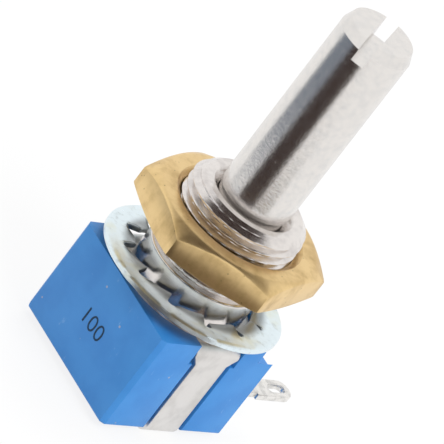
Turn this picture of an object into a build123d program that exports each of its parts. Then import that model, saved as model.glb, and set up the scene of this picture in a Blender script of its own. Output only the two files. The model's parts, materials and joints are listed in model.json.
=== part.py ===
from build123d import *
import os
from math import cos, radians, sin, sqrt, tan

# Single-turn panel potentiometer, in millimetres.
# The origin is on the shaft axis, in the plane of the housing's front face.
# +Z runs along the shaft to its tip, -Y is the plain broad side, +Y is the terminal side.

# Housing
body_side = 12.7
body_depth = 8.8
edge_chamfer = 0.35
back_edge_radius = 0.25
cavity_wall = 1.1
pocket_wall = 1.05
pocket_corner_radius = 0.6
notch_side = 1.95
notch_depth = 1.75
notch_radius = 0.6

# Clamp strap, one stamping of a front plate, two arms and two folded ends
strap_thickness = 0.6
strap_width = 3.2
strap_root_width = 4.5
strap_taper = 0.8
strap_inset = 0.2
strap_bend_radius = 0.9
strap_plate_margin = 0.75
strap_fold = 2.3
strap_gap = 0.1
groove_gap = 0.4
groove_mouth_gap = 0.15
groove_fit = 0.05

# Bushing, staked into the strap plate by its neck
thread_diameter = 10.0
bushing_reach = 9.5
bushing_chamfer = 0.55
relief_depth = 0.1
relief_top = 4.3
relief_slope = 0.1
countersink_width = 0.67
countersink_depth = 0.7
neck_step = 0.7
staked_rim_overhang = 0.6
staked_rim_thickness = 0.45

# Shaft
shaft_diameter = 6.0
journal_step = 0.2
shoulder_gap = 0.1
shaft_reach = 26.5
tip_chamfer_radial = 0.35
tip_chamfer_length = 0.9
slot_width = 1.1
slot_depth = 1.9
slot_angle = 125.6
spigot_diameter = 4.0
spigot_flats = 2.8
shaft_fit = 0.03
spigot_fit = 0.03

# Shaft seal, and what keeps the shaft from pulling out
seal_section = 0.92
seal_height = 3.6
seal_fit = 0.02
seal_side_gap = 0.1
thrust_washer_thickness = 0.3
thrust_washer_diameter = 8.8
ring_thickness = 0.5
ring_diameter = 7.8
ring_groove_depth = 0.5
ring_mouth_angle = 100.0
end_play = 0.03

# Rotor with its stop arm, and the stop lug that the housing carries
rotor_wall_gap = 0.15
rotor_thickness = 1.3
rotor_gap = 0.6
stop_arm_reach = 0.8
stop_arm_thickness = 1.0
stop_arm_half_angle = 12.0
stop_lug_gap = 0.15
stop_lug_root = 0.1
stop_margin_angle = 2.0
mechanical_half_travel = 150.0

# Element: ceramic plate with its printed films
element_depth = 5.25
element_thickness = 0.8
element_fit = 0.05
film_thickness = 0.05
track_margin = 0.2
track_width = 1.0
track_half_angle = 135.0
end_pad_angle = 17.0
end_pad_margin = 0.3
collector_radius = 1.65
collector_width = 0.9
collector_lead_width = 1.2

# Wiper
wiper_thickness = 0.12
wiper_base_inner = 1.0
wiper_finger_width = 0.25
wiper_finger_pitch = 0.32
wiper_finger_length = 2.0
wiper_foot = 0.3
wiper_gap = 0.03

# Terminals
terminal_pitch = 5.08
terminal_thickness = 0.5
terminal_neck_width = 1.4
terminal_lug_width = 1.9
terminal_reach = 5.05
terminal_shoulder = 1.1
terminal_overlap = 0.4
terminal_end_flat = 0.2
eye_width = 0.85
eye_length = 1.75
eye_margin = 0.55
terminal_fit = 0.05
solder_leg = 0.25

# Rear cover and its gasket
gasket_thickness = 0.4
frame_width = 0.95
cover_thickness = 1.2
cover_fit = 0.05

# Hex nut, part way along the thread
nut_across_flats = 14.0
nut_thickness = 2.7
nut_height = 4.8
nut_turn = 18.1
nut_face_margin = 0.25
nut_crown_angle = 30.0
nut_foot_drop = 0.35
nut_bore_chamfer = 0.45
thread_fit = 0.03

# Internal-tooth lock washer, loose on the thread and leaning to one side
washer_diameter = 15.8
washer_rim_width = 1.35
washer_thickness = 0.5
washer_bore_gap = 0.3
tooth_count = 12
tooth_width = 1.5
tooth_twist = 24.0
tooth_turn = 6.0
washer_lean = 3.5
washer_lean_heading = -52.4
washer_middle_height = 0.95

# Widths and angles that follow from the sizes above
body_half = body_side / 2
cavity_radius = body_half - cavity_wall
pocket_side = body_side - 2 * pocket_wall
thread_radius = thread_diameter / 2
plate_radius = thread_radius + strap_plate_margin
neck_radius = thread_radius - neck_step
staked_rim_radius = neck_radius + staked_rim_overhang
shaft_radius = shaft_diameter / 2
journal_radius = shaft_radius - journal_step
bore_radius = journal_radius + shaft_fit
spigot_radius = spigot_diameter / 2
stop_arm_radius = cavity_radius - rotor_wall_gap
rotor_radius = stop_arm_radius - stop_arm_reach
stop_lug_half_angle = 180 - mechanical_half_travel - stop_arm_half_angle - stop_margin_angle
track_reach = rotor_radius - track_margin
end_pad_reach = pocket_side / 2 - end_pad_margin
terminal_inner_end = end_pad_reach - terminal_overlap
terminal_places = [place * terminal_pitch for place in (-1, 0, 1)]

# Heights that follow from the sizes above
plate_top = -strap_inset
plate_back = plate_top - strap_thickness
bushing_back = plate_back - staked_rim_thickness
thrust_washer_top = bushing_back - end_play
ring_top = thrust_washer_top - thrust_washer_thickness - end_play
ring_back = ring_top - ring_thickness
rotor_top = ring_back - rotor_gap
rotor_back = rotor_top - rotor_thickness
wiper_back = rotor_back - wiper_thickness
film_top = -element_depth + film_thickness
element_back = -element_depth - element_thickness
gasket_back = element_back - gasket_thickness
terminal_top = film_top + terminal_thickness


def disc(radius, low, high):
    return Pos(0, 0, low) * Cylinder(radius, high - low, align=(Align.CENTER, Align.CENTER, Align.MIN))


def tube(outer, inner, low, high):
    return disc(outer, low, high) - disc(inner, low, high)


def block(x_low, x_high, y_low, y_high, low, high):
    box = Box(x_high - x_low, y_high - y_low, high - low, align=(Align.MIN, Align.MIN, Align.MIN))
    return Pos(x_low, y_low, low) * box


def rounded_slab(side, radius, low, high):
    return Pos(0, 0, low) * extrude(RectangleRounded(side, side, radius), high - low)


def sector(outer, inner, start, sweep, low, high):
    # a ring segment from the start angle, in degrees from +X
    profile = Pos((outer + inner) / 2, (low + high) / 2) * Rectangle(outer - inner, high - low)
    return Rot(0, 0, start) * revolve(Plane.XZ * profile, Axis.Z, sweep)


def plate_outline(clearance, root_width, reach):
    # seen along the shaft: the round plate with the roots of both arms
    disc_face = Circle(plate_radius + clearance)
    return disc_face + Rectangle(2 * reach, root_width)


def arm_outline():
    # seen from the side: the arms leave the bends and narrow to their own width
    top = plate_top - strap_bend_radius
    narrow = top - strap_taper
    bottom = -body_depth - strap_thickness
    root = strap_root_width / 2
    half = strap_width / 2
    points = [(-root, top), (root, top), (half, narrow), (half, bottom), (-half, bottom), (-half, narrow)]
    return Polygon(*points, align=None)


def build_clamp_strap():
    height = body_depth + strap_thickness + plate_top
    middle = plate_top - height / 2
    outer = RectangleRounded(body_side, height, strap_bend_radius)
    inner_radius = strap_bend_radius - strap_thickness
    inner = RectangleRounded(body_side - 2 * strap_thickness, height - 2 * strap_thickness, inner_radius)
    loop = Plane.XZ * Pos(0, middle) * (outer - inner)
    loop = extrude(loop, body_side, both=True)
    fold_end = body_half - strap_fold
    loop -= block(-fold_end, fold_end, -body_half, body_half, -body_depth - strap_thickness, -body_depth)
    front = plate_outline(0, strap_root_width, body_half)
    front = Pos(0, 0, plate_top - strap_bend_radius) * extrude(front, strap_bend_radius)
    sides = extrude(Plane.YZ * arm_outline(), body_half, both=True)
    return loop & (front + sides) - disc(neck_radius, plate_back, plate_top)


def build_bushing():
    relief_radius = thread_radius - relief_depth
    thread = disc(thread_radius, relief_top, bushing_reach) + disc(relief_radius, plate_top, relief_top)
    thread = chamfer(thread.edges().group_by(Axis.Z)[-1], bushing_chamfer)
    neck = disc(neck_radius, plate_back, plate_top)
    rim = disc(staked_rim_radius, bushing_back, plate_back)
    bore = disc(bore_radius, bushing_back, bushing_reach)
    mouth = Cone(bore_radius, bore_radius + countersink_width, countersink_depth)
    mouth = Pos(0, 0, bushing_reach - countersink_depth / 2) * mouth
    slope = Cone(relief_radius, thread_radius, relief_slope, align=(Align.CENTER, Align.CENTER, Align.MAX))
    return thread + Pos(0, 0, relief_top) * slope + neck + rim - bore - mouth


def build_housing():
    shell = block(-body_half, body_half, -body_half, body_half, -body_depth, 0)
    shell = chamfer(shell.edges().filter_by(Axis.Z), edge_chamfer)
    shell = fillet(shell.faces().sort_by(Axis.Z)[0].edges(), back_edge_radius)
    shell -= disc(cavity_radius, -element_depth, plate_back)
    shell -= rounded_slab(pocket_side, pocket_corner_radius, -body_depth, -element_depth)
    mouth_width = strap_root_width + 2 * groove_mouth_gap
    seat = plate_outline(strap_gap, mouth_width, body_half)
    shell -= Pos(0, 0, plate_back) * extrude(seat, -plate_back)
    groove_floor = body_half - strap_thickness - groove_fit
    groove_half = strap_width / 2 + groove_gap
    mouth_floor = plate_top - strap_bend_radius - strap_taper
    relief_side = sqrt(2) * (strap_bend_radius - strap_thickness)
    relief = Rot(0, 45, 0) * Box(relief_side, 2 * groove_half, relief_side)
    front_relief = Rot(0, 45, 0) * Box(relief_side, mouth_width, relief_side)
    notch_start = body_half - notch_side
    film_reach = end_pad_reach + element_fit
    shell -= block(-film_reach, film_reach, 0, film_reach, -element_depth, film_top + element_fit)
    for side in (-1, 1):
        outside = sorted((side * groove_floor, side * body_half))
        shell -= block(*outside, -groove_half, groove_half, -body_depth, 0)
        shell -= block(*outside, -mouth_width / 2, mouth_width / 2, mouth_floor, 0)
        shell -= Pos(side * groove_floor, 0, plate_back) * front_relief
        shell -= Pos(side * groove_floor, 0, -body_depth) * relief
        corner = sorted((side * notch_start, side * body_half))
        notch = block(*corner, notch_start, body_half, -notch_depth, 0)
        shell -= fillet(notch.edges().filter_by(Axis.Y).group_by(Axis.Z)[0], notch_radius) & notch
    for x in terminal_places:
        half = terminal_neck_width / 2 + terminal_fit
        inner_end = terminal_inner_end - 2 * solder_leg
        shell -= block(x - half, x + half, inner_end, body_half, -element_depth, terminal_top + terminal_fit)
    lug = sector(cavity_radius + stop_lug_root, rotor_radius + stop_lug_gap, 90 - stop_lug_half_angle,
                 2 * stop_lug_half_angle, rotor_back, ring_back)
    return shell + lug


def build_shaft():
    shoulder = bushing_reach + shoulder_gap
    spigot_top = rotor_top + end_play
    body = disc(shaft_radius, shoulder, shaft_reach)
    tip = body.edges().group_by(Axis.Z)[-1]
    tip_face = body.faces().sort_by(Axis.Z)[-1]
    body = chamfer(tip, tip_chamfer_radial, tip_chamfer_length, reference=tip_face)
    body += disc(journal_radius, spigot_top, shoulder)
    half = spigot_flats / 2
    spigot = disc(spigot_radius, rotor_back, spigot_top)
    spigot &= block(-spigot_radius, spigot_radius, -half, half, rotor_back, spigot_top)
    half = slot_width / 2
    slot = block(-shaft_radius, shaft_radius, -half, half, shaft_reach - slot_depth, shaft_reach)
    half = seal_section / 2 + seal_side_gap
    floor = bore_radius - seal_fit - seal_section
    seal_groove = tube(journal_radius, floor, seal_height - half, seal_height + half)
    floor = journal_radius - ring_groove_depth
    ring_groove = tube(journal_radius, floor, ring_back - end_play, ring_top + end_play)
    return body + spigot - Rot(0, 0, slot_angle) * slot - seal_groove - ring_groove


def build_shaft_seal():
    section = seal_section / 2
    return Pos(0, 0, seal_height) * Torus(bore_radius - seal_fit - section, section)


def build_retaining_ring():
    inner = bore_radius - ring_groove_depth
    start = ring_mouth_angle / 2 - 90
    return sector(ring_diameter / 2, inner, start, 360 - ring_mouth_angle, ring_back, ring_top)


def build_thrust_washer():
    low = thrust_washer_top - thrust_washer_thickness
    return tube(thrust_washer_diameter / 2, bore_radius, low, thrust_washer_top)


def build_rotor():
    wheel = disc(rotor_radius, rotor_back, rotor_top)
    arm = sector(stop_arm_radius, spigot_radius, -90 - stop_arm_half_angle,
                 2 * stop_arm_half_angle, rotor_top - stop_arm_thickness, rotor_top)
    hole = disc(spigot_radius + spigot_fit, rotor_back, rotor_top)
    half = spigot_flats / 2 + spigot_fit
    hole &= block(-body_half, body_half, -half, half, rotor_back, rotor_top)
    return wheel + arm - hole


def wiper_finger(radius):
    # one leaf from the rotor's back face down to a film
    drop = wiper_back - film_top - wiper_gap
    foot = wiper_foot
    length = wiper_finger_length
    points = [(0, 0), (foot, 0), (length + foot, -drop), (length, -drop)]
    leaf = extrude(Polygon(*points, align=None), wiper_finger_width / 2, both=True)
    leaf = Rot(90, 0, 0) * leaf
    return Pos(-length - foot / 2, -radius, wiper_back) * leaf


def build_wiper():
    base = sector(rotor_radius, wiper_base_inner, 180, 180, wiper_back, rotor_back)
    track_middle = track_reach - track_width / 2
    radii = [track_middle + step * wiper_finger_pitch for step in (-1, 0, 1)]
    radii += [collector_radius + step * wiper_finger_pitch for step in (-0.5, 0.5)]
    for radius in radii:
        base += wiper_finger(radius)
    return base


def build_element_plate():
    return rounded_slab(pocket_side - 2 * element_fit, pocket_corner_radius, element_back, -element_depth)


def build_resistor_track():
    inner = track_reach - track_width
    return sector(track_reach, inner, -90 - track_half_angle, 2 * track_half_angle, -element_depth, film_top)


def build_collector_track():
    reach = collector_radius + collector_width / 2
    ring = tube(reach, reach - collector_width, -element_depth, film_top)
    half = collector_lead_width / 2
    return ring + block(-half, half, collector_radius, end_pad_reach, -element_depth, film_top)


def build_end_pads():
    start = track_half_angle - 90
    inner = track_reach - track_width
    pad = sector(track_reach, inner, start, end_pad_angle, -element_depth, film_top)
    corner = track_reach * cos(radians(start))
    pad += block(corner - track_width, end_pad_reach, corner, end_pad_reach, -element_depth, film_top)
    return pad + mirror(pad, Plane.YZ)


def build_terminal(x):
    half_neck = terminal_neck_width / 2
    half_lug = terminal_lug_width / 2
    end = body_half + terminal_reach
    shoulder = body_half + terminal_shoulder
    low, high = film_top, terminal_top
    strip = block(x - half_neck, x + half_neck, terminal_inner_end, shoulder, low, high)
    lug = block(x - half_lug, x + half_lug, shoulder, end, low, high)
    tip = lug.edges().filter_by(Axis.Z).group_by(Axis.Y)[-1]
    lug = fillet(tip, half_lug - terminal_end_flat / 2)
    eye = SlotOverall(eye_length, eye_width, rotation=90)
    eye = Pos(x, end - eye_margin - eye_length / 2, low) * extrude(eye, terminal_thickness)
    return strip + lug - eye


def build_solder():
    # a bead at the inner end of each terminal, on its film
    joints = Part()
    half = terminal_neck_width / 2
    wedge = Polygon((0, 0), (0, solder_leg), (-solder_leg, 0), align=None)
    for x in terminal_places:
        place = Plane((x - half, terminal_inner_end, film_top), x_dir=(0, 1, 0), z_dir=(1, 0, 0))
        joints += extrude(place * wedge, terminal_neck_width)
    return joints


def frame(low, high):
    side = pocket_side - 2 * cover_fit
    inner = side - 2 * frame_width
    outline = RectangleRounded(side, side, pocket_corner_radius)
    outline -= RectangleRounded(inner, inner, pocket_corner_radius)
    return Pos(0, 0, low) * extrude(outline, high - low)


def build_rear_gasket():
    return frame(gasket_back, element_back)


def build_rear_cover():
    floor_top = -body_depth + cover_thickness
    side = pocket_side - 2 * cover_fit
    return frame(floor_top, gasket_back) + rounded_slab(side, pocket_corner_radius, -body_depth, floor_top)


def build_hex_nut():
    hexagon = RegularPolygon(nut_across_flats / 2, 6, major_radius=False, rotation=nut_turn + 30)
    prism = Pos(0, 0, nut_height) * extrude(hexagon, nut_thickness)
    corner = nut_across_flats / sqrt(3)
    half_face = nut_across_flats / 2 - nut_face_margin
    drop = (corner - half_face) * tan(radians(nut_crown_angle))
    top = nut_height + nut_thickness
    profile = Polygon((0, nut_height), (half_face, nut_height), (corner, nut_height + nut_foot_drop),
                      (corner, top - drop), (half_face, top), (0, top), align=None)
    crown = revolve(Plane.XZ * profile, Axis.Z)
    bore = disc(thread_radius + thread_fit, nut_height, top)
    nut = (prism & crown) - bore
    rims = nut.edges().filter_by(GeomType.CIRCLE).sort_by(SortBy.RADIUS)[:2]
    return chamfer(rims, nut_bore_chamfer)


def build_lock_washer():
    outer = washer_diameter / 2
    rim_inner = outer - washer_rim_width
    bore = thread_radius + washer_bore_gap
    half = washer_thickness / 2
    washer = tube(outer, rim_inner, -half, half)
    tooth_length = rim_inner - bore + half
    blank = Box(tooth_length, tooth_width, washer_thickness, align=(Align.MIN, Align.CENTER, Align.CENTER))
    tooth = Pos(bore, 0, 0) * Rot(tooth_twist, 0, 0) * blank
    for number in range(tooth_count):
        washer += Rot(0, 0, tooth_turn + number * 360 / tooth_count) * tooth
    heading = radians(washer_lean_heading)
    hinge = Axis((0, 0, 0), (sin(heading), -cos(heading), 0))
    return Pos(0, 0, washer_middle_height) * washer.rotate(hinge, washer_lean)


def build_all():
    left, centre, right = terminal_places
    return {
        "shaft": build_shaft(),
        "shaft_seal": build_shaft_seal(),
        "thrust_washer": build_thrust_washer(),
        "retaining_ring": build_retaining_ring(),
        "rotor": build_rotor(),
        "wiper": build_wiper(),
        "bushing": build_bushing(),
        "clamp_strap": build_clamp_strap(),
        "housing": build_housing(),
        "element_plate": build_element_plate(),
        "resistor_track": build_resistor_track(),
        "collector_track": build_collector_track(),
        "track_end_pads": build_end_pads(),
        "terminal_left": build_terminal(left),
        "terminal_centre": build_terminal(centre),
        "terminal_right": build_terminal(right),
        "terminal_solder": build_solder(),
        "rear_gasket": build_rear_gasket(),
        "rear_cover": build_rear_cover(),
        "hex_nut": build_hex_nut(),
        "lock_washer": build_lock_washer(),
    }


os.makedirs("parts", exist_ok=True)
for name, shape in build_all().items():
    export_step(shape, f"parts/{name}.step")
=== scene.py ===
import json
import math

import bmesh
import bpy
from mathutils import Matrix, Vector


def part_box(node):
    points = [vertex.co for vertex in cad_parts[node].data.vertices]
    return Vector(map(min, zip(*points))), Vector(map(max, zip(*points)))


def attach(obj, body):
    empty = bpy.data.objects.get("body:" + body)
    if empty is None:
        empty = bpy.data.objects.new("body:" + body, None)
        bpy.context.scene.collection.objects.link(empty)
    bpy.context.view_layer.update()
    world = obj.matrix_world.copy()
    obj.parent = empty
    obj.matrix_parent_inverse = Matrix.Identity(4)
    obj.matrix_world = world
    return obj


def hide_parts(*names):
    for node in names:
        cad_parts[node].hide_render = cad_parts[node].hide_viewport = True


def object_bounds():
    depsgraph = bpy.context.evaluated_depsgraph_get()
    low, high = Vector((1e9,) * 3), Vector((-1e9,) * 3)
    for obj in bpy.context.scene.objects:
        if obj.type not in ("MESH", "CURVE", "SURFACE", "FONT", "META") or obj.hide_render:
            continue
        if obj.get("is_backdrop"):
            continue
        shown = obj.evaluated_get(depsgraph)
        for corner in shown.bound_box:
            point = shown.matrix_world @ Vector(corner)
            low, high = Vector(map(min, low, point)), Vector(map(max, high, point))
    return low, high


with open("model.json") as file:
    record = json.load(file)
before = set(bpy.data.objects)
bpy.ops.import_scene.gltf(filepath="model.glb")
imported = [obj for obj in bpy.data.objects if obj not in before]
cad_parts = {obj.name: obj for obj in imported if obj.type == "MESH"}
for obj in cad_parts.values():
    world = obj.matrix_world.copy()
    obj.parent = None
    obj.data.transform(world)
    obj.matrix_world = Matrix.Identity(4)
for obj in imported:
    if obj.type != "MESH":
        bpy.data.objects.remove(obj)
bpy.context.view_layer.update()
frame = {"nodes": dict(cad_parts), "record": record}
scene = bpy.context.scene
mm = 0.001
print("frame loaded:", len(frame["nodes"]), "nodes")


class Wire:
    # one output socket, so that shader maths reads as an expression
    def __init__(self, paint, socket):
        self.paint = paint
        self.socket = socket

    def math(self, operation, first, second=0.0):
        return self.paint.node("ShaderNodeMath", {"operation": operation}, {0: first, 1: second})

    def __add__(self, other):
        return self.math("ADD", self, other)

    def __radd__(self, other):
        return self.math("ADD", other, self)

    def __sub__(self, other):
        return self.math("SUBTRACT", self, other)

    def __rsub__(self, other):
        return self.math("SUBTRACT", other, self)

    def __mul__(self, other):
        return self.math("MULTIPLY", self, other)

    def __rmul__(self, other):
        return self.math("MULTIPLY", other, self)

    def between(self, low, high):
        # 0 below low, 1 above high, and a smooth rise from one to the other
        settings = {"interpolation_type": "SMOOTHSTEP"}
        return self.paint.node("ShaderNodeMapRange", settings, {0: self, 1: low, 2: high})


class Paint:
    # a material with its Principled shader and the nodes that feed it, or another node tree
    def __init__(self, name, tree=None, **fixed):
        if tree is None:
            self.material = bpy.data.materials.new(name)
            self.material.use_nodes = True
            tree = self.material.node_tree
            self.shader = tree.nodes["Principled BSDF"]
        self.tree = tree
        for socket, value in fixed.items():
            self.shader.inputs[socket.replace("_", " ")].default_value = value

    def node(self, kind, settings=None, sockets=None, output=0):
        made = self.tree.nodes.new(kind)
        for key, value in (settings or {}).items():
            setattr(made, key, value)
        for key, value in (sockets or {}).items():
            self.feed(made.inputs[key], value)
        return Wire(self, made.outputs[output])

    def feed(self, socket, value):
        if isinstance(value, Wire):
            self.tree.links.new(value.socket, socket)
        else:
            socket.default_value = value

    def place(self, x=1.0, y=1.0, z=1.0):
        # the point on the piece in millimetres, stretched along each axis
        point = self.node("ShaderNodeTexCoord", output="Object")
        scale = (x / mm, y / mm, z / mm)
        return self.node("ShaderNodeVectorMath", {"operation": "MULTIPLY"}, {0: point, 1: scale})

    def noise(self, point, scale, detail=3.0, roughness=0.5):
        sockets = {"Vector": point, "Scale": scale, "Detail": detail, "Roughness": roughness}
        return self.node("ShaderNodeTexNoise", None, sockets)

    def specks(self, point, scale, size):
        # 1 in the middle of each scattered dot
        near = self.node("ShaderNodeTexVoronoi", None, {"Vector": point, "Scale": scale})
        return 1 - near.between(size * 0.6, size)

    def mix(self, factor, first, second):
        return self.node("ShaderNodeMix", {"data_type": "RGBA"}, {0: factor, 6: first, 7: second}, 2)

    def bump(self, height, distance, strength=1.0, under=None):
        sockets = {"Height": height, "Distance": distance * mm, "Strength": strength}
        if under:
            sockets["Normal"] = under
        return self.node("ShaderNodeBump", None, sockets)

    def shade(self, **sockets):
        for socket, value in sockets.items():
            self.feed(self.shader.inputs[socket.replace("_", " ")], value)
        return self.material


def opaque(red, green, blue):
    return (red, green, blue, 1.0)


def nickelPlate(name, values):
    # bright plating over turned metal: a soft grain, fine turning marks and faint grey clouds
    paint = Paint(name, Metallic=1.0)
    point = paint.place()
    grain = paint.noise(point, values["grainScale"], 4.0, 0.65)
    cloud = paint.noise(point, values["cloudScale"], 3.0)
    turning = paint.noise(paint.place(0.15, 0.15, 1.0), values["turningScale"], 2.0)
    colour = paint.mix(cloud.between(0.35, 0.75), values["bright"], values["dull"])
    rough = values["roughness"] + values["roughnessSpread"] * grain
    marks = paint.bump(turning, values["turningDepth"])
    normal = paint.bump(grain, values["grainDepth"], 1.0, marks)
    return paint.shade(Base_Color=colour, Roughness=rough, Normal=normal)


shaftFinish = {
    "bright": opaque(0.80, 0.77, 0.74), "dull": opaque(0.74, 0.72, 0.70),
    "grainScale": 4.0, "grainDepth": 0.013, "cloudScale": 1.6,
    "turningScale": 9.0, "turningDepth": 0.002,
    "roughness": 0.16, "roughnessSpread": 0.16,
}
bushingFinish = {
    "bright": opaque(0.80, 0.76, 0.73), "dull": opaque(0.66, 0.62, 0.60),
    "grainScale": 7.0, "grainDepth": 0.003, "cloudScale": 0.9,
    "turningScale": 14.0, "turningDepth": 0.003,
    "roughness": 0.12, "roughnessSpread": 0.2,
}


def nutBrass():
    # bare brass: broached lines along the flats, rings on the faces, slight tarnish
    values = {
        "fresh": opaque(0.86, 0.63, 0.31), "tarnished": opaque(0.55, 0.37, 0.15),
        "lineScale": 5.0, "lineDepth": 0.006, "grainScale": 11.0, "grainDepth": 0.004,
        "wideScale": 1.1, "cloudScale": 0.45,
        "pitScale": 1.3, "pitSize": 0.09, "pitted": opaque(0.22, 0.14, 0.06),
        "roughness": 0.27, "roughnessSpread": 0.2,
    }
    paint = Paint("nutBrass", Metallic=1.0)
    point = paint.place()
    lines = paint.noise(paint.place(1.0, 1.0, 0.06), values["lineScale"], 3.0, 0.7)
    wide = paint.noise(paint.place(1.0, 1.0, 0.1), values["wideScale"], 2.0)
    cloud = paint.noise(point, values["cloudScale"], 4.0, 0.6)
    grain = paint.noise(point, values["grainScale"], 3.0)
    age = cloud.between(0.42, 0.72) * 0.6 + wide.between(0.5, 0.7) * 0.25
    colour = paint.mix(age, values["fresh"], values["tarnished"])
    pits = paint.specks(point, values["pitScale"], values["pitSize"])
    colour = paint.mix(pits * 0.6, colour, values["pitted"])
    rough = values["roughness"] + values["roughnessSpread"] * cloud
    marks = paint.bump(lines, values["lineDepth"])
    normal = paint.bump(grain - pits * 0.5, values["grainDepth"], 1.0, marks)
    return paint.shade(Base_Color=colour, Roughness=rough, Normal=normal)


def zincPlate():
    # bluish clear zinc, with pale yellow and grey clouds and a fine grain, and painted shade that darkens
    # the teeth towards the middle
    values = {
        "blue": opaque(0.80, 0.90, 0.94), "yellow": opaque(0.76, 0.80, 0.70),
        "grey": opaque(0.50, 0.55, 0.55), "paintedToothShade": opaque(0.20, 0.21, 0.21),
        "toothShadeFrom": 6.7, "toothShadeTo": 5.9, "tintScale": 0.5, "cloudScale": 1.7,
        "cloudDepth": 0.012, "grainScale": 9.0, "grainDepth": 0.004,
        "roughness": 0.2, "roughnessSpread": 0.25,
    }
    paint = Paint("zincPlate", Metallic=1.0)
    point = paint.place()
    tint = paint.noise(point, values["tintScale"], 2.0)
    cloud = paint.noise(point, values["cloudScale"], 4.0, 0.6)
    grain = paint.noise(point, values["grainScale"], 3.0)
    colour = paint.mix(tint.between(0.5, 0.72) * 0.7, values["blue"], values["yellow"])
    colour = paint.mix(cloud.between(0.52, 0.8) * 0.7, colour, values["grey"])
    # painted shade: a dark grey mixed over the teeth, growing from the outer radius towards the middle
    reach = paint.node("ShaderNodeVectorMath", {"operation": "LENGTH"}, {0: paint.place(z=0.0)}, "Value")
    paintedToothShade = 1 - reach.between(values["toothShadeTo"], values["toothShadeFrom"])
    colour = paint.mix(paintedToothShade * 0.8, colour, values["paintedToothShade"])
    rough = values["roughness"] + values["roughnessSpread"] * cloud
    clouded = paint.bump(cloud, values["cloudDepth"])
    normal = paint.bump(grain, values["grainDepth"], 1.0, clouded)
    return paint.shade(Base_Color=colour, Roughness=rough, Normal=normal)


def strapSteel():
    # rolled strip, satin, with faint clouds, rubbed streaks along its length and small scuffs
    values = {
        "pale": opaque(0.80, 0.78, 0.76), "grey": opaque(0.62, 0.60, 0.58),
        "scuffed": opaque(0.42, 0.38, 0.36), "cloudScale": 0.7, "rolledScale": 6.0,
        "rolledDepth": 0.0025, "grainScale": 14.0, "grainDepth": 0.003, "scuffScale": 2.4,
        "roughness": 0.34, "roughnessSpread": 0.2,
    }
    paint = Paint("strapSteel", Metallic=1.0)
    point = paint.place()
    cloud = paint.noise(point, values["cloudScale"], 3.0)
    rolled = paint.noise(paint.place(1.0, 1.0, 0.08), values["rolledScale"], 3.0, 0.6)
    grain = paint.noise(point, values["grainScale"], 2.0)
    smears = paint.noise(paint.place(0.6, 2.2, 0.6), values["scuffScale"], 4.0, 0.7)
    scuffs = smears.between(0.66, 0.72)
    colour = paint.mix(cloud.between(0.4, 0.75) * 0.7, values["pale"], values["grey"])
    colour = paint.mix(scuffs * 0.35, colour, values["scuffed"])
    rough = values["roughness"] + values["roughnessSpread"] * rolled
    marks = paint.bump(rolled, values["rolledDepth"])
    normal = paint.bump(grain - scuffs, values["grainDepth"], 1.0, marks)
    return paint.shade(Base_Color=colour, Roughness=rough, Normal=normal)


def bluePlastic():
    # moulded and satin: a soft texture, clouds of slightly different blue, small scuffs and dust
    values = {
        "blue": opaque(0.044, 0.262, 0.660), "deep": opaque(0.034, 0.228, 0.610),
        "scuffed": opaque(0.30, 0.52, 0.80), "dust": opaque(0.45, 0.42, 0.44),
        "cloudScale": 0.35, "fineScale": 6.0, "fineDepth": 0.004,
        "grainScale": 16.0, "grainDepth": 0.002, "streakScale": 1.9, "patchScale": 0.55,
        "dustScale": 0.55, "dustSize": 0.07, "roughness": 0.36, "roughnessSpread": 0.14,
    }
    paint = Paint("bluePlastic", Specular_IOR_Level=0.5, IOR=1.5)
    point = paint.place()
    cloud = paint.noise(point, values["cloudScale"], 3.0)
    fine = paint.noise(point, values["fineScale"], 3.0, 0.6)
    grain = paint.noise(point, values["grainScale"], 2.0)
    smears = paint.noise(paint.place(1.0, 2.6, 0.45), values["streakScale"], 4.0, 0.65)
    streaks = smears.between(0.62, 0.70)
    patches = paint.noise(point, values["patchScale"], 2.0).between(0.55, 0.62)
    dots = paint.specks(point, values["dustScale"], values["dustSize"])
    colour = paint.mix(cloud.between(0.35, 0.7), values["blue"], values["deep"])
    colour = paint.mix(streaks * patches * 0.30, colour, values["scuffed"])
    colour = paint.mix(dots * 0.7, colour, values["dust"])
    rough = values["roughness"] + values["roughnessSpread"] * fine
    soft = paint.bump(fine, values["fineDepth"])
    normal = paint.bump(grain, values["grainDepth"], 1.0, soft)
    return paint.shade(Base_Color=colour, Roughness=rough, Normal=normal)


def tinPlate(name, pale, grey, rough):
    # bright tin or solder: soft ripples and dull patches
    paint = Paint(name, Metallic=1.0)
    point = paint.place()
    ripple = paint.noise(point, 2.2, 2.0)
    grain = paint.noise(point, 12.0, 3.0)
    colour = paint.mix(ripple.between(0.4, 0.7), pale, grey)
    normal = paint.bump(grain, 0.002, 1.0, paint.bump(ripple, 0.02))
    return paint.shade(Base_Color=colour, Roughness=rough + 0.2 * grain, Normal=normal)


def sealRubber():
    paint = Paint("sealRubber", Specular_IOR_Level=0.35)
    point = paint.place()
    bloom = paint.noise(point, 1.5, 4.0)
    grain = paint.noise(point, 18.0, 2.0)
    colour = paint.mix(bloom.between(0.45, 0.8), opaque(0.018, 0.018, 0.02), opaque(0.05, 0.05, 0.05))
    return paint.shade(Base_Color=colour, Roughness=0.55 + 0.25 * bloom, Normal=paint.bump(grain, 0.004))


def firedCeramic(name, pale, dark, rough):
    # alumina and the films printed on it: a fine sandy grain
    paint = Paint(name)
    point = paint.place()
    sand = paint.noise(point, 20.0, 4.0, 0.7)
    cloud = paint.noise(point, 1.2, 2.0)
    colour = paint.mix(0.5 * sand + 0.5 * cloud, pale, dark)
    return paint.shade(Base_Color=colour, Roughness=rough + 0.15 * sand, Normal=paint.bump(sand, 0.004))


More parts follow.
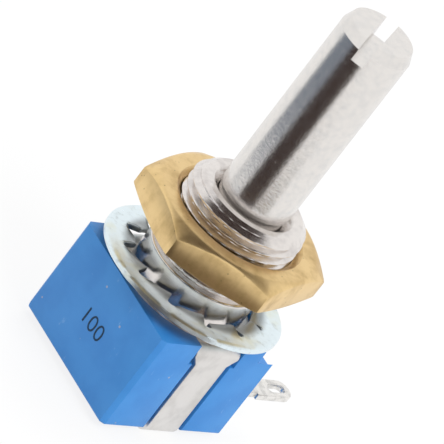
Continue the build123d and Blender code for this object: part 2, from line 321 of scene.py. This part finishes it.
def thinMetal(name, bright, dull, rough):
    # spring sheet: rolled streaks across one direction
    paint = Paint(name, Metallic=1.0)
    rolled = paint.noise(paint.place(0.1, 1.0, 1.0), 8.0, 3.0)
    cloud = paint.noise(paint.place(), 1.5, 2.0)
    colour = paint.mix(cloud.between(0.3, 0.7), bright, dull)
    return paint.shade(Base_Color=colour, Roughness=rough + 0.15 * rolled, Normal=paint.bump(rolled, 0.002))


def printInk():
    paint = Paint("printInk", Specular_IOR_Level=0.3)
    worn = paint.noise(paint.place(), 7.0, 3.0)
    colour = paint.mix(worn.between(0.5, 0.8), opaque(0.008, 0.035, 0.075), opaque(0.02, 0.09, 0.19))
    return paint.shade(Base_Color=colour, Roughness=0.5 + 0.2 * worn)


nickelShaft = nickelPlate("nickelShaft", shaftFinish)
nickelBushing = nickelPlate("nickelBushing", bushingFinish)
blue = bluePlastic()
springSteel = thinMetal("springSteel", opaque(0.60, 0.59, 0.57), opaque(0.42, 0.41, 0.40), 0.25)
rubber = sealRubber()
silverFilm = firedCeramic("silverFilm", opaque(0.75, 0.74, 0.70), opaque(0.55, 0.54, 0.50), 0.35)
tin = tinPlate("tinPlate", opaque(0.86, 0.84, 0.81), opaque(0.66, 0.65, 0.63), 0.2)
finishes = {
    "shaft": nickelShaft,
    "shaft_seal": rubber,
    "thrust_washer": springSteel,
    "retaining_ring": springSteel,
    "rotor": firedCeramic("rotorPlastic", opaque(0.70, 0.66, 0.55), opaque(0.60, 0.56, 0.46), 0.4),
    "wiper": thinMetal("wiperAlloy", opaque(0.85, 0.72, 0.45), opaque(0.65, 0.54, 0.33), 0.2),
    "bushing": nickelBushing,
    "clamp_strap": strapSteel(),
    "housing": blue,
    "element_plate": firedCeramic("elementCeramic", opaque(0.86, 0.85, 0.80), opaque(0.72, 0.71, 0.67), 0.6),
    "resistor_track": firedCeramic("resistorFilm", opaque(0.05, 0.05, 0.05), opaque(0.09, 0.08, 0.07), 0.4),
    "collector_track": silverFilm,
    "track_end_pads": silverFilm,
    "terminal_left": tin,
    "terminal_centre": tin,
    "terminal_right": tin,
    "terminal_solder": tinPlate("solder", opaque(0.72, 0.72, 0.71), opaque(0.52, 0.52, 0.51), 0.15),
    "rear_gasket": rubber,
    "rear_cover": blue,
    "hex_nut": nutBrass(),
    "lock_washer": zincPlate(),
}
for node, material in finishes.items():
    frame["nodes"][node].data.materials.clear()
    frame["nodes"][node].data.materials.append(material)
print("materials:", len(bpy.data.materials))


def bodyOf(node):
    for body, members in frame["record"]["behaviour"]["bodies"].items():
        if node in members:
            return body


def smoothStep(low, high, value):
    share = min(max((value - low) / (high - low), 0.0), 1.0)
    return share * share * (3 - 2 * share)


def addPiece(name, node, points, faces, sharpAngle=35.0):
    # a mesh in millimetres that stands for a CAD node
    mesh = bpy.data.meshes.new(name)
    mesh.from_pydata([Vector(point) * mm for point in points], [], faces)
    mesh.validate()
    piece = bpy.data.objects.new(name, mesh)
    scene.collection.objects.link(piece)
    finishPiece(piece, node, sharpAngle)
    return piece


def finishPiece(piece, node, sharpAngle):
    mesh = piece.data
    for polygon in mesh.polygons:
        polygon.use_smooth = True
    mesh.set_sharp_from_angle(angle=math.radians(sharpAngle))
    mesh.materials.clear()
    mesh.materials.append(finishes[node])
    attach(piece, bodyOf(node))
    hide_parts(node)


def ringFaces(rows, columns):
    # quads between neighbouring closed rings, and from the last ring back to the first
    faces = []
    for row in range(rows):
        nextRow = (row + 1) % rows
        for column in range(columns):
            nextColumn = (column + 1) % columns
            faces.append((row * columns + column, row * columns + nextColumn,
                          nextRow * columns + nextColumn, nextRow * columns + column))
    return faces


def softEdged(node, width, sharpAngle=30.0):
    # the CAD shape with its sharp edges broken, as tumbling or a worn mould leaves them
    mesh = frame["nodes"][node].data.copy()
    mesh.name = node + "Finished"
    work = bmesh.new()
    work.from_mesh(mesh)
    bmesh.ops.remove_doubles(work, verts=work.verts, dist=0.002 * mm)
    bmesh.ops.dissolve_limit(work, angle_limit=math.radians(0.6), verts=work.verts, edges=work.edges)
    sharp = [edge for edge in work.edges
             if len(edge.link_faces) == 2 and edge.calc_face_angle() > math.radians(sharpAngle)]
    bmesh.ops.bevel(work, geom=sharp, offset=width * mm, segments=2, profile=0.5,
                    affect="EDGES", clamp_overlap=True)
    bmesh.ops.remove_doubles(work, verts=work.verts, dist=0.001 * mm)
    bmesh.ops.triangulate(work, faces=[face for face in work.faces if len(face.verts) > 4])
    bmesh.ops.recalc_face_normals(work, faces=work.faces)
    work.to_mesh(mesh)
    work.free()
    piece = bpy.data.objects.new(node + "Finished", mesh)
    scene.collection.objects.link(piece)
    finishPiece(piece, node, 40.0)
    return piece


# threaded bushing
bushing = {
    "columns": 240,
    "pitch": 0.75, "threadDepth": 0.48, "crestShare": 0.06, "rootShare": 0.2,
    "reliefRadius": 4.9, "reliefTop": 2.75, "runIn": 0.3,
    "chamferLow": 4.22, "chamferHeight": 0.62, "lipRound": 0.18,
    "boreRadius": 2.83, "mouthRadius": 3.5, "mouthDepth": 0.7,
    "neckRadius": 4.3, "rimRadius": 4.9, "rimHeight": 0.45, "neckHeight": 0.6,
    "rowStep": 0.03,
}


def threadRadius(height, angle, crest, top):
    # right-handed V thread with a flat crest and root, fading into the plain relief below
    turn = (height / bushing["pitch"] - angle / math.tau) % 1.0
    away = abs(turn - 0.5) * 2
    flank = (away - bushing["rootShare"]) / (1 - bushing["rootShare"] - bushing["crestShare"])
    depth = bushing["threadDepth"] * (1 - min(max(flank, 0.0), 1.0))
    start = bushing["reliefTop"]
    threadShare = smoothStep(start, start + bushing["runIn"], height)
    radius = crest - depth
    radius = min(radius, crest) * threadShare + bushing["reliefRadius"] * (1 - threadShare)
    chamferStart = top - bushing["chamferHeight"]
    slope = (crest - bushing["chamferLow"]) / bushing["chamferHeight"]
    return min(radius, crest - slope * max(height - chamferStart, 0.0))


def buildBushing():
    low, high = (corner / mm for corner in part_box("bushing"))
    crest, top = high.x, high.z
    plateTop = low.z + bushing["rimHeight"] + bushing["neckHeight"]
    columns = bushing["columns"]
    angles = [column * math.tau / columns for column in range(columns)]
    steps = round((top - plateTop) / bushing["rowStep"])
    points = []
    for step in range(steps + 1):
        height = plateTop + (top - plateTop) * step / steps
        for angle in angles:
            radius = threadRadius(height, angle, crest, top)
            points.append((radius * math.cos(angle), radius * math.sin(angle), height))
    rows = steps + 1
    lip = bushing["lipRound"]
    mouth = bushing["mouthRadius"]
    rimTop = low.z + bushing["rimHeight"]
    profile = [(mouth + lip, top), (mouth + lip * 0.3, top - lip * 0.12),
               (mouth - lip * 0.15, top - lip * 0.5),
               (bushing["boreRadius"] + lip * 0.4, top - bushing["mouthDepth"] + lip * 0.2),
               (bushing["boreRadius"], top - bushing["mouthDepth"] - lip * 0.4),
               (bushing["boreRadius"], low.z), (bushing["rimRadius"], low.z), (bushing["rimRadius"], rimTop),
               (bushing["neckRadius"], rimTop), (bushing["neckRadius"], plateTop)]
    for radius, height in profile:
        for angle in angles:
            points.append((radius * math.cos(angle), radius * math.sin(angle), height))
        rows += 1
    return addPiece("threadedBushing", "bushing", points, ringFaces(rows, columns))


# hex nut
nut = {
    "columns": 240, "cornerRound": 0.16, "edgeRound": 0.10,
    "crownAngle": 30.0, "faceMargin": 0.25, "footDrop": 0.35,
    "boreRadius": 5.03, "boreChamfer": 0.42, "turn": 18.1, "halfFlats": 7.0,
}


def flatRadius(angle, halfFlats):
    # distance to the hexagon's side, with its corners rounded
    best = [halfFlats / max(math.cos(angle - math.radians(nut["turn"] + 60 * side)), 0.01)
            for side in range(6)]
    best.sort()
    blend = nut["cornerRound"]
    gap = max(blend - (best[1] - best[0]), 0.0) / blend
    return best[0] - gap * gap * blend * 0.25


def buildNut():
    low, high = (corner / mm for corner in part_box("hex_nut"))
    halfFlats = nut["halfFlats"]
    corner = halfFlats / math.cos(math.radians(30))
    faceRadius = halfFlats - nut["faceMargin"]
    slope = math.tan(math.radians(nut["crownAngle"]))
    footSlope = nut["footDrop"] / (corner - faceRadius)
    bore, chamfer, soft = nut["boreRadius"], nut["boreChamfer"], nut["edgeRound"]
    columns = nut["columns"]
    angles = [column * math.tau / columns for column in range(columns)]

    def ring(radiusOf, heightOf):
        rings.append([(radiusOf(angle), heightOf(angle)) for angle in angles])

    rings = []
    side = [flatRadius(angle, halfFlats) for angle in angles]
    sideAt = dict(zip(angles, side))
    crownAt = lambda angle: high.z - (sideAt[angle] - faceRadius) * slope
    footAt = lambda angle: low.z + (sideAt[angle] - faceRadius) * footSlope
    ring(lambda angle: bore, lambda angle: low.z + chamfer)
    ring(lambda angle: bore + chamfer * 0.5, lambda angle: low.z + chamfer * 0.5)
    ring(lambda angle: bore + chamfer, lambda angle: low.z)
    ring(lambda angle: faceRadius - soft, lambda angle: low.z)
    ring(lambda angle: faceRadius + soft, lambda angle: low.z + soft * footSlope)
    ring(lambda angle: sideAt[angle] - soft, lambda angle: footAt(angle) - soft * footSlope)
    ring(lambda angle: sideAt[angle] - soft * 0.25, lambda angle: footAt(angle) + soft * 0.3)
    ring(lambda angle: sideAt[angle], lambda angle: footAt(angle) + soft)
    ring(lambda angle: sideAt[angle], lambda angle: crownAt(angle) - soft)
    ring(lambda angle: sideAt[angle] - soft * 0.25, lambda angle: crownAt(angle) - soft * 0.25)
    ring(lambda angle: sideAt[angle] - soft, lambda angle: crownAt(angle) + soft * slope)
    ring(lambda angle: faceRadius + soft, lambda angle: high.z - soft * slope)
    ring(lambda angle: faceRadius - soft, lambda angle: high.z)
    ring(lambda angle: bore + chamfer + soft, lambda angle: high.z)
    ring(lambda angle: bore + chamfer * 0.5, lambda angle: high.z - chamfer * 0.5)
    ring(lambda angle: bore, lambda angle: high.z - chamfer)
    points = [(radius * math.cos(angle), radius * math.sin(angle), height)
              for row in rings for angle, (radius, height) in zip(angles, row)]
    return addPiece("brassNut", "hex_nut", points, ringFaces(len(rings), columns), 24.0)


# internal-tooth lock washer
washer = {
    "teeth": 12, "sectorColumns": 28, "turn": 6.0,
    "outerRadius": 7.9, "thickness": 0.5, "edgeRound": 0.09,
    "gapBottom": 6.4, "gapHalfWidth": 0.4, "toothTip": 5.3, "toothCorner": 0.25,
    "twist": 13.0, "lean": 3.5, "leanHeading": -52.4, "middleHeight": 0.95,
}


def buildWasher():
    half = washer["thickness"] / 2
    outer, soft = washer["outerRadius"], washer["edgeRound"]
    bottom, gap, tip = washer["gapBottom"], washer["gapHalfWidth"], washer["toothTip"]
    root = bottom - gap
    perTooth = washer["sectorColumns"]
    columns = perTooth * washer["teeth"]
    pitch = math.tau / washer["teeth"]
    twist = math.tan(math.radians(washer["twist"]))

    def place(radius, angle, height):
        # the twist lifts one flank of each tooth and lowers the other
        local = (angle / pitch) % 1.0 - 0.5
        across = local * pitch * radius
        lift = twist * across * smoothStep(bottom, root - 0.35, radius)
        turned = angle + math.radians(washer["turn"])
        return (radius * math.cos(turned), radius * math.sin(turned), height + lift)

    def innerRadius(angle):
        # the rounded bottom of a gap, or the tip of a tooth with its corners rounded
        local = (angle / pitch) % 1.0 - 0.5
        across = abs(local) * pitch * root
        fromGap = pitch * root / 2 - across
        if fromGap < gap:
            return bottom - gap + math.sqrt(gap * gap - fromGap * fromGap)
        corner = washer["toothCorner"]
        inFlank = min(fromGap - gap, corner)
        return tip + corner - math.sqrt(max(corner * corner - (corner - inFlank) ** 2, 0.0))

    angles = [column * math.tau / columns for column in range(columns)]
    points = []
    shares = [0.0, 0.06, 0.2, 0.4, 0.6, 0.8, 0.94, 1.0]
    rows = []
    for side in (1, -1):
        order = shares if side == 1 else list(reversed(shares))
        for share in order:
            edge = soft if share in (0.0, 1.0) else 0.0
            rows.append((share, side * (half - edge)))
    for share, height in rows:
        for angle in angles:
            inner = innerRadius(angle)
            radius = outer + (inner - outer) * share
            points.append(place(radius, angle, height))
    faces = [face[::-1] for face in ringFaces(len(rows), columns)]
    piece = addPiece("toothedWasher", "lock_washer", points, faces)
    heading = math.radians(washer["leanHeading"])
    hinge = Vector((math.sin(heading), -math.cos(heading), 0))
    lean = Matrix.Rotation(math.radians(washer["lean"]), 4, hinge)
    piece.data.transform(Matrix.Translation((0, 0, washer["middleHeight"] * mm)) @ lean)
    return piece


buildBushing()
buildNut()
buildWasher()
print("thread, nut and washer built")

# what is stamped, moulded or cut keeps the CAD shape, with its edges broken
edgeBreaks = {
    "housing": 0.07, "rear_cover": 0.06, "clamp_strap": 0.05,
    "terminal_left": 0.05, "terminal_centre": 0.05, "terminal_right": 0.05,
}
for node, width in edgeBreaks.items():
    softEdged(node, width)
print("edges broken on", len(edgeBreaks), "pieces")


# plain number printed on the broad side
number = {"text": "100", "size": 2.0, "rise": 0.012, "thin": -0.012, "height": -4.6, "across": 0.0}


def buildNumber():
    curve = bpy.data.curves.new("plainNumber", "FONT")
    curve.body = number["text"]
    curve.size = number["size"] * mm
    curve.align_x = "CENTER"
    curve.align_y = "CENTER"
    curve.extrude = number["rise"] * mm
    curve.offset = number["thin"] * mm
    curve.resolution_u = 6
    source = bpy.data.objects.new("plainNumberSource", curve)
    scene.collection.objects.link(source)
    bpy.context.view_layer.update()
    mesh = bpy.data.meshes.new_from_object(source)
    bpy.data.objects.remove(source)
    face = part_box("housing")[0].y
    turn = Matrix.Rotation(math.radians(90), 4, "X")
    mesh.transform(Matrix.Translation((number["across"] * mm, face, number["height"] * mm)) @ turn)
    piece = bpy.data.objects.new("plainNumber", mesh)
    scene.collection.objects.link(piece)
    mesh.materials.append(printInk())
    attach(piece, bodyOf("housing"))


buildNumber()
print("number printed")


studio = {
    "floorSize": 6.0, "floorGlow": 0.85, "worldLight": 0.70,
    "lampSpread": 0.30, "lampDistance": 0.6, "keyWatts": 1.6, "topWatts": 1.0,
    "cardSteps": 24, "cardLift": 0.2, "ceilingHeight": 300,
}
# each card's near and far reach in millimetres, its start and end angle from the camera, and its colour
floorCards = {
    "darkCard": (14, 500, -44, 10, (0.05, 0.035, 0.032)),
    "nearCard": (14, 43, 10, 52, (0.16, 0.12, 0.09)),
    "greyCard": (48, 500, -92, -44, (0.20, 0.23, 0.28)),
}


def seenDirectly(paint):
    # 1 for camera, glossy and transmission rays
    kinds = ("Is Camera Ray", "Is Glossy Ray", "Is Transmission Ray")
    eye, glossy, clear = (paint.node("ShaderNodeLightPath", output=kind) for kind in kinds)
    settings = {"operation": "ADD", "use_clamp": True}
    return paint.node("ShaderNodeMath", settings, {0: eye + glossy, 1: clear})


def buildFloor():
    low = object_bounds()[0]
    half = studio["floorSize"] / 2
    mesh = bpy.data.meshes.new("floor")
    corners = [(-half, -half, low[2]), (half, -half, low[2]), (half, half, low[2]), (-half, half, low[2])]
    mesh.from_pydata(corners, [], [(0, 1, 2, 3)])
    floor = bpy.data.objects.new("floor", mesh)
    scene.collection.objects.link(floor)
    paint = Paint("floorPaper")
    tree = paint.tree
    plain = paint.node("ShaderNodeBsdfDiffuse", None, {"Color": opaque(0.9, 0.9, 0.9)})
    glow = paint.node("ShaderNodeEmission", None, {"Color": opaque(1, 1, 1), "Strength": 1.0})
    share = seenDirectly(paint) * studio["floorGlow"]
    mixed = paint.node("ShaderNodeMixShader", None, {0: share, 1: plain, 2: glow})
    tree.links.new(mixed.socket, tree.nodes["Material Output"].inputs["Surface"])
    mesh.materials.append(paint.material)
    floor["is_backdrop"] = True


def buildWorld():
    world = bpy.data.worlds.new("studio")
    scene.world = world
    world.use_nodes = True
    paint = Paint("studio", world.node_tree)
    back = paint.tree.nodes["Background"]
    paint.feed(back.inputs["Color"], opaque(1, 1, 1))
    sockets = {"Value": seenDirectly(paint), "To Min": studio["worldLight"], "To Max": 1.0}
    paint.feed(back.inputs["Strength"], paint.node("ShaderNodeMapRange", None, sockets))


def addLamp(name, direction, distance, size, watts):
    lamp = bpy.data.lights.new(name, "AREA")
    lamp.shape = "DISK"
    lamp.size = size
    lamp.energy = watts
    holder = bpy.data.objects.new(name, lamp)
    scene.collection.objects.link(holder)
    towards = Vector(direction).normalized()
    holder.location = towards * distance
    holder.rotation_euler = towards.to_track_quat("Z", "Y").to_euler()
    holder.visible_glossy = False


def addCard(name, level, nearReach, farReach, startAngle, endAngle, colour):
    # a dark ring sector, level in the air or just above the floor, that only reflections see
    steps = studio["cardSteps"]
    points = []
    for step in range(steps + 1):
        angle = math.radians(startAngle + (endAngle - startAngle) * step / steps)
        for reach in (nearReach, farReach):
            points.append((reach * mm * math.cos(angle), reach * mm * math.sin(angle), level))
    faces = [(2 * step, 2 * step + 1, 2 * step + 3, 2 * step + 2) for step in range(steps)]
    mesh = bpy.data.meshes.new(name)
    mesh.from_pydata(points, [], faces)
    card = bpy.data.objects.new(name, mesh)
    scene.collection.objects.link(card)
    paint = Paint(name)
    glow = paint.node("ShaderNodeEmission", None, {"Color": colour, "Strength": 1.0})
    paint.tree.links.new(glow.socket, paint.tree.nodes["Material Output"].inputs["Surface"])
    mesh.materials.append(paint.material)
    card.visible_camera = False
    card.visible_diffuse = False
    card.visible_shadow = False
    card.visible_transmission = False
    card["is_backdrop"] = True


# the camera's direction and roll in degrees, its distance, and where it aims across and up, in millimetres
view = {"azimuth": 37.635, "elevation": 27.184, "roll": 37.561, "distance": 392.3,
        "across": -0.876, "up": 5.552, "lens": 424.6, "sensor": 36.0}


def buildCamera():
    azimuth, elevation, roll = (math.radians(view[key]) for key in ("azimuth", "elevation", "roll"))
    towards = Vector((math.sin(azimuth) * math.cos(elevation), -math.cos(azimuth) * math.cos(elevation),
                      math.sin(elevation)))
    level = Vector((math.cos(azimuth), math.sin(azimuth), 0))
    upright = towards.cross(level)
    right = math.cos(roll) * level + math.sin(roll) * upright
    up = math.cos(roll) * upright - math.sin(roll) * level
    place = (view["across"] * level + view["up"] * upright + view["distance"] * towards) * mm
    lens = bpy.data.cameras.new("camera")
    lens.lens = view["lens"]
    lens.sensor_width = view["sensor"]
    lens.clip_start = 0.01
    lens.clip_end = 20.0
    camera = bpy.data.objects.new("camera", lens)
    scene.collection.objects.link(camera)
    axes = Matrix((right, up, towards)).transposed().to_4x4()
    camera.matrix_world = Matrix.Translation(place) @ axes
    scene.camera = camera
    return camera


buildWorld()
buildFloor()
camera = buildCamera()
towardsCamera = camera.matrix_world.to_quaternion() @ Vector((0, 0, 1))
cameraRight = camera.matrix_world.to_quaternion() @ Vector((1, 0, 0))
cameraUp = camera.matrix_world.to_quaternion() @ Vector((0, 1, 0))
keyDirection = towardsCamera * 0.8 + cameraRight * 0.8 + cameraUp * 0.1
addLamp("keyLamp", keyDirection, studio["lampDistance"], studio["lampSpread"], studio["keyWatts"])
addLamp("topLamp", (-0.2, 0.4, 1.0), studio["lampDistance"], studio["lampSpread"], studio["topWatts"])
cameraHeading = view["azimuth"] - 90
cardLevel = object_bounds()[0][2] + studio["cardLift"] * mm
for name, (near, far, start, end, colour) in floorCards.items():
    addCard(name, cardLevel, near, far, cameraHeading + start, cameraHeading + end, opaque(*colour))
addCard("ceilingCard", studio["ceilingHeight"] * mm, 0, 190, 0, 360, opaque(0.04, 0.025, 0.022))
scene.view_settings.view_transform = "Standard"
print("floor, light and camera set")
